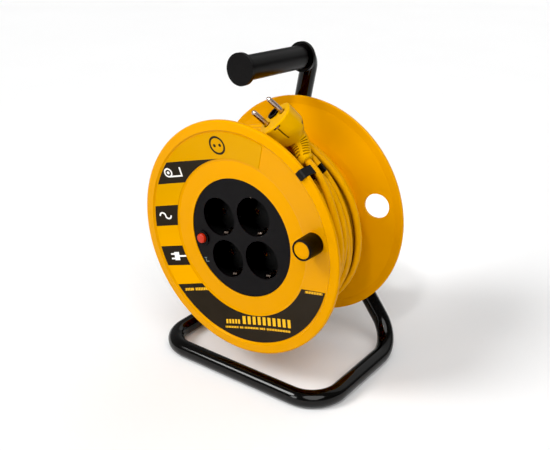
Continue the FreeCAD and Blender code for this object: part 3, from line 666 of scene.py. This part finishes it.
def build_boot(material):
    rows, columns = 150, 96
    lip_start, lip_end, lip_radius = BOOT_LIP
    vertices, grooves = [], []
    for i in range(rows):
        share = i / (rows - 1)
        place, along = boot_line(share)
        first = (-PLUG_SIDE - along * (-PLUG_SIDE).dot(along)).normalized()
        second = along.cross(first)
        radius = BOOT_START_R + (BOOT_END_R - BOOT_START_R) * share ** BOOT_HOLLOW
        radius -= lip_radius * smoothstep(lip_start, lip_end, share)
        for j in range(columns):
            turn = 2 * math.pi * j / columns
            depth = boot_depth(share, turn)
            reach = (radius - SLOT_DEPTH * depth) * MM
            vertices.append(place + first * (reach * math.cos(turn)) + second * (reach * math.sin(turn)))
            grooves.append(SLOT_SHADE * depth)
    boot = add_mesh("plug_boot", vertices, closed_tube_faces(rows, columns), material)
    set_groove_shade(boot, grooves)
    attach(boot, "drum")
    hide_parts("strain_relief")
    return boot


# ---- CAD nodes ------------------------------------------------------------------------------
def dress(node, material):
    piece = frame["nodes"][node]
    piece.data.materials.clear()
    piece.data.materials.append(material)
    for polygon in piece.data.polygons:
        polygon.material_index = 0


def soften_edges(node, width):
    """Rounds a CAD node's sharp edges a little, with a modifier."""
    bevel = frame["nodes"][node].modifiers.new("soft_edge", "BEVEL")
    bevel.width = width
    bevel.segments = 2
    bevel.limit_method = "ANGLE"
    bevel.angle_limit = math.radians(50)


def dress_nodes(sheath):
    """Gives every CAD node in view, or inside the drum, its material."""
    yellow = plastic("yellow_flange_plastic", (0.64, 0.275, 0.0), rough=0.36, grain=0.18,
                     mottle=0.03, tint=WARM_SHINE)
    inner_yellow = plastic("yellow_barrel_plastic", (0.66, 0.27, 0.0), rough=0.42, mottle=0.05,
                           tint=WARM_SHINE)
    black = plastic("black_moulded_plastic", (0.008, 0.008, 0.008), rough=0.42, grain=0.35,
                    mottle=0.2, worn=0.12, shine=0.1)
    knob = plastic("knob_black_plastic", (0.007, 0.0065, 0.006), rough=0.46, grain=0.45,
                   mottle=0.2, shine=0.12)
    red = plastic("red_button_plastic", (0.45, 0.026, 0.009), rough=0.22, mottle=0.1)
    nylon = plastic("nylon_bush", (0.75, 0.73, 0.68), rough=0.45)
    nickel = metal("nickel_plate", (0.5, 0.4, 0.34), rough=0.22)
    zinc = metal("zinc_plated_steel", (0.62, 0.62, 0.6), rough=0.3)
    brass = metal("brass_strip", (0.72, 0.5, 0.2), rough=0.28)
    made_of = (
        (black_paint(), ("frame_tube", "leg_weld", "axle_bracket")),
        (rubber_grip(), ("handle_grip",)),
        (zinc, ("axle_shaft", "retaining_washer", "retaining_bolt", "flange_screws", "knob_screw")),
        (nylon, ("axle_spacer", "axle_bush")),
        (yellow, ("front_flange", "back_flange", "knob_post")),
        (inner_yellow, ("hub_drum",)),
        (panel_plastic(), ("socket_panel",)),
        (label_print(), ("flange_label",)),
        (black, ("socket_inserts", "cord_gland", "lead_clamp", "thermal_breaker", "plug_earth_socket")),
        (knob, ("knob_sleeve", "cable_clip")),
        (red, ("reset_button",)),
        (brass, ("contact_sleeves", "busbar_live", "busbar_neutral")),
        (nickel, ("earth_clips", "plug_pins", "plug_earth_strips")),
        (sheath, ("inner_lead",)),
        (plastic("brown_core", (0.13, 0.05, 0.02)), ("live_wires",)),
        (plastic("blue_core", (0.03, 0.12, 0.5)), ("neutral_wire",)),
        (plastic("green_core", (0.12, 0.4, 0.05)), ("earth_wire",)),
    )
    for material, nodes in made_of:
        for node in nodes:
            dress(node, material)
    soften_edges("cable_clip", 0.35 * MM)


# ---- studio ---------------------------------------------------------------------------------
CAMERA_AZIMUTH = 36.75
CAMERA_ELEVATION = 23.2
CAMERA_DISTANCE = 0.82
CAMERA_AIM = Vector((3.6, 0.0, -2.6)) * MM       # about the axle
SENSOR_WIDTH = 36.0
FOCAL_LENGTH = 52.17
FLOOR_HALF = 20.0
BLACK_LEVEL = 0.0065              # darker than this shows as plain black
WORLD_STRENGTH = 0.25

# wide soft suns: name, the way it shines, strength and spread in degrees
SKIES = (
    ("left_sky", (0.42, 0.62, -0.66), 1.8, 22),
    ("right_sky", (-0.45, 0.48, -0.75), 1.6, 45),
    ("rear_sky", (-0.20, -0.75, -0.63), 0.45, 60),
)

# the two lamps' places, and the spot's aim, about the axle
KEY_PLACE = Vector((-0.25, -1.6, 0.62))
KEY_POWER = 3.2
SPOT_PLACE = Vector((0.3, -0.8, 0.95))
SPOT_AIM = Vector((0.02, 0.045, 0.118))
SPOT_POWER = 110.0


def turn_towards(thing, way):
    """Turns a light or camera so that it looks along a way."""
    thing.rotation_mode = "QUATERNION"
    thing.rotation_quaternion = way.to_track_quat("-Z", "Y")


def add_camera():
    data = bpy.data.cameras.new("camera")
    data.lens = FOCAL_LENGTH
    data.sensor_width = SENSOR_WIDTH
    camera = link_new("camera", data)
    azimuth = math.radians(CAMERA_AZIMUTH)
    elevation = math.radians(CAMERA_ELEVATION)
    back = Vector((math.sin(azimuth) * math.cos(elevation), -math.cos(azimuth) * math.cos(elevation),
                   math.sin(elevation)))
    camera.location = AXLE + CAMERA_AIM + back * CAMERA_DISTANCE
    turn_towards(camera, -back)
    bpy.context.scene.camera = camera


def add_light(name, kind, place, way, power, **settings):
    data = bpy.data.lights.new(name, kind)
    data.energy = power
    for key, value in settings.items():
        setattr(data, key, value)
    light = link_new(name, data)
    light.location = place
    turn_towards(light, way)


def add_floor():
    look = Look("pale_floor")
    colour = look.mixed(look.noise(3.0, 2.0), (0.92, 0.92, 0.92), (0.95, 0.95, 0.95))
    look.set(Base_Color=colour, Roughness=0.75)
    corners = [(-FLOOR_HALF, -FLOOR_HALF, 0), (FLOOR_HALF, -FLOOR_HALF, 0),
               (FLOOR_HALF, FLOOR_HALF, 0), (-FLOOR_HALF, FLOOR_HALF, 0)]
    floor = add_mesh("floor", corners, [(0, 1, 2, 3)], look.material, smooth=False)


def add_world():
    world = bpy.data.worlds.new("studio")
    world.use_nodes = True
    background = world.node_tree.nodes["Background"]
    background.inputs["Color"].default_value = opaque(WHITE)
    background.inputs["Strength"].default_value = WORLD_STRENGTH
    bpy.context.scene.world = world


def add_lights():
    key = AXLE + KEY_PLACE
    add_light("key", "AREA", key, AXLE - key, KEY_POWER, shape="RECTANGLE", size=0.4, size_y=0.4)
    for name, way, strength, spread in SKIES:
        add_light(name, "SUN", AXLE, Vector(way), strength, angle=math.radians(spread))
    spot = AXLE + SPOT_PLACE
    add_light("back_flange_spot", "SPOT", spot, AXLE + SPOT_AIM - spot, SPOT_POWER,
              spot_size=math.radians(9), spot_blend=1.0, shadow_soft_size=0.15)


def deepen_blacks(view):
    """Plain display colours, with the darkest tones taken down as in a catalogue print."""
    view.view_transform = "Standard"
    view.use_curve_mapping = True
    view.curve_mapping.black_level = (BLACK_LEVEL, BLACK_LEVEL, BLACK_LEVEL)
    view.curve_mapping.update()


def main():
    add_camera()
    soft = plug_plastic()
    sheath = cord_sheath()
    plug = build_plug_body(soft)
    boot = build_boot(soft)
    build_cord(sheath)
    dress_nodes(sheath)
    add_floor()
    add_world()
    add_lights()
    deepen_blacks(bpy.context.scene.view_settings)


main()
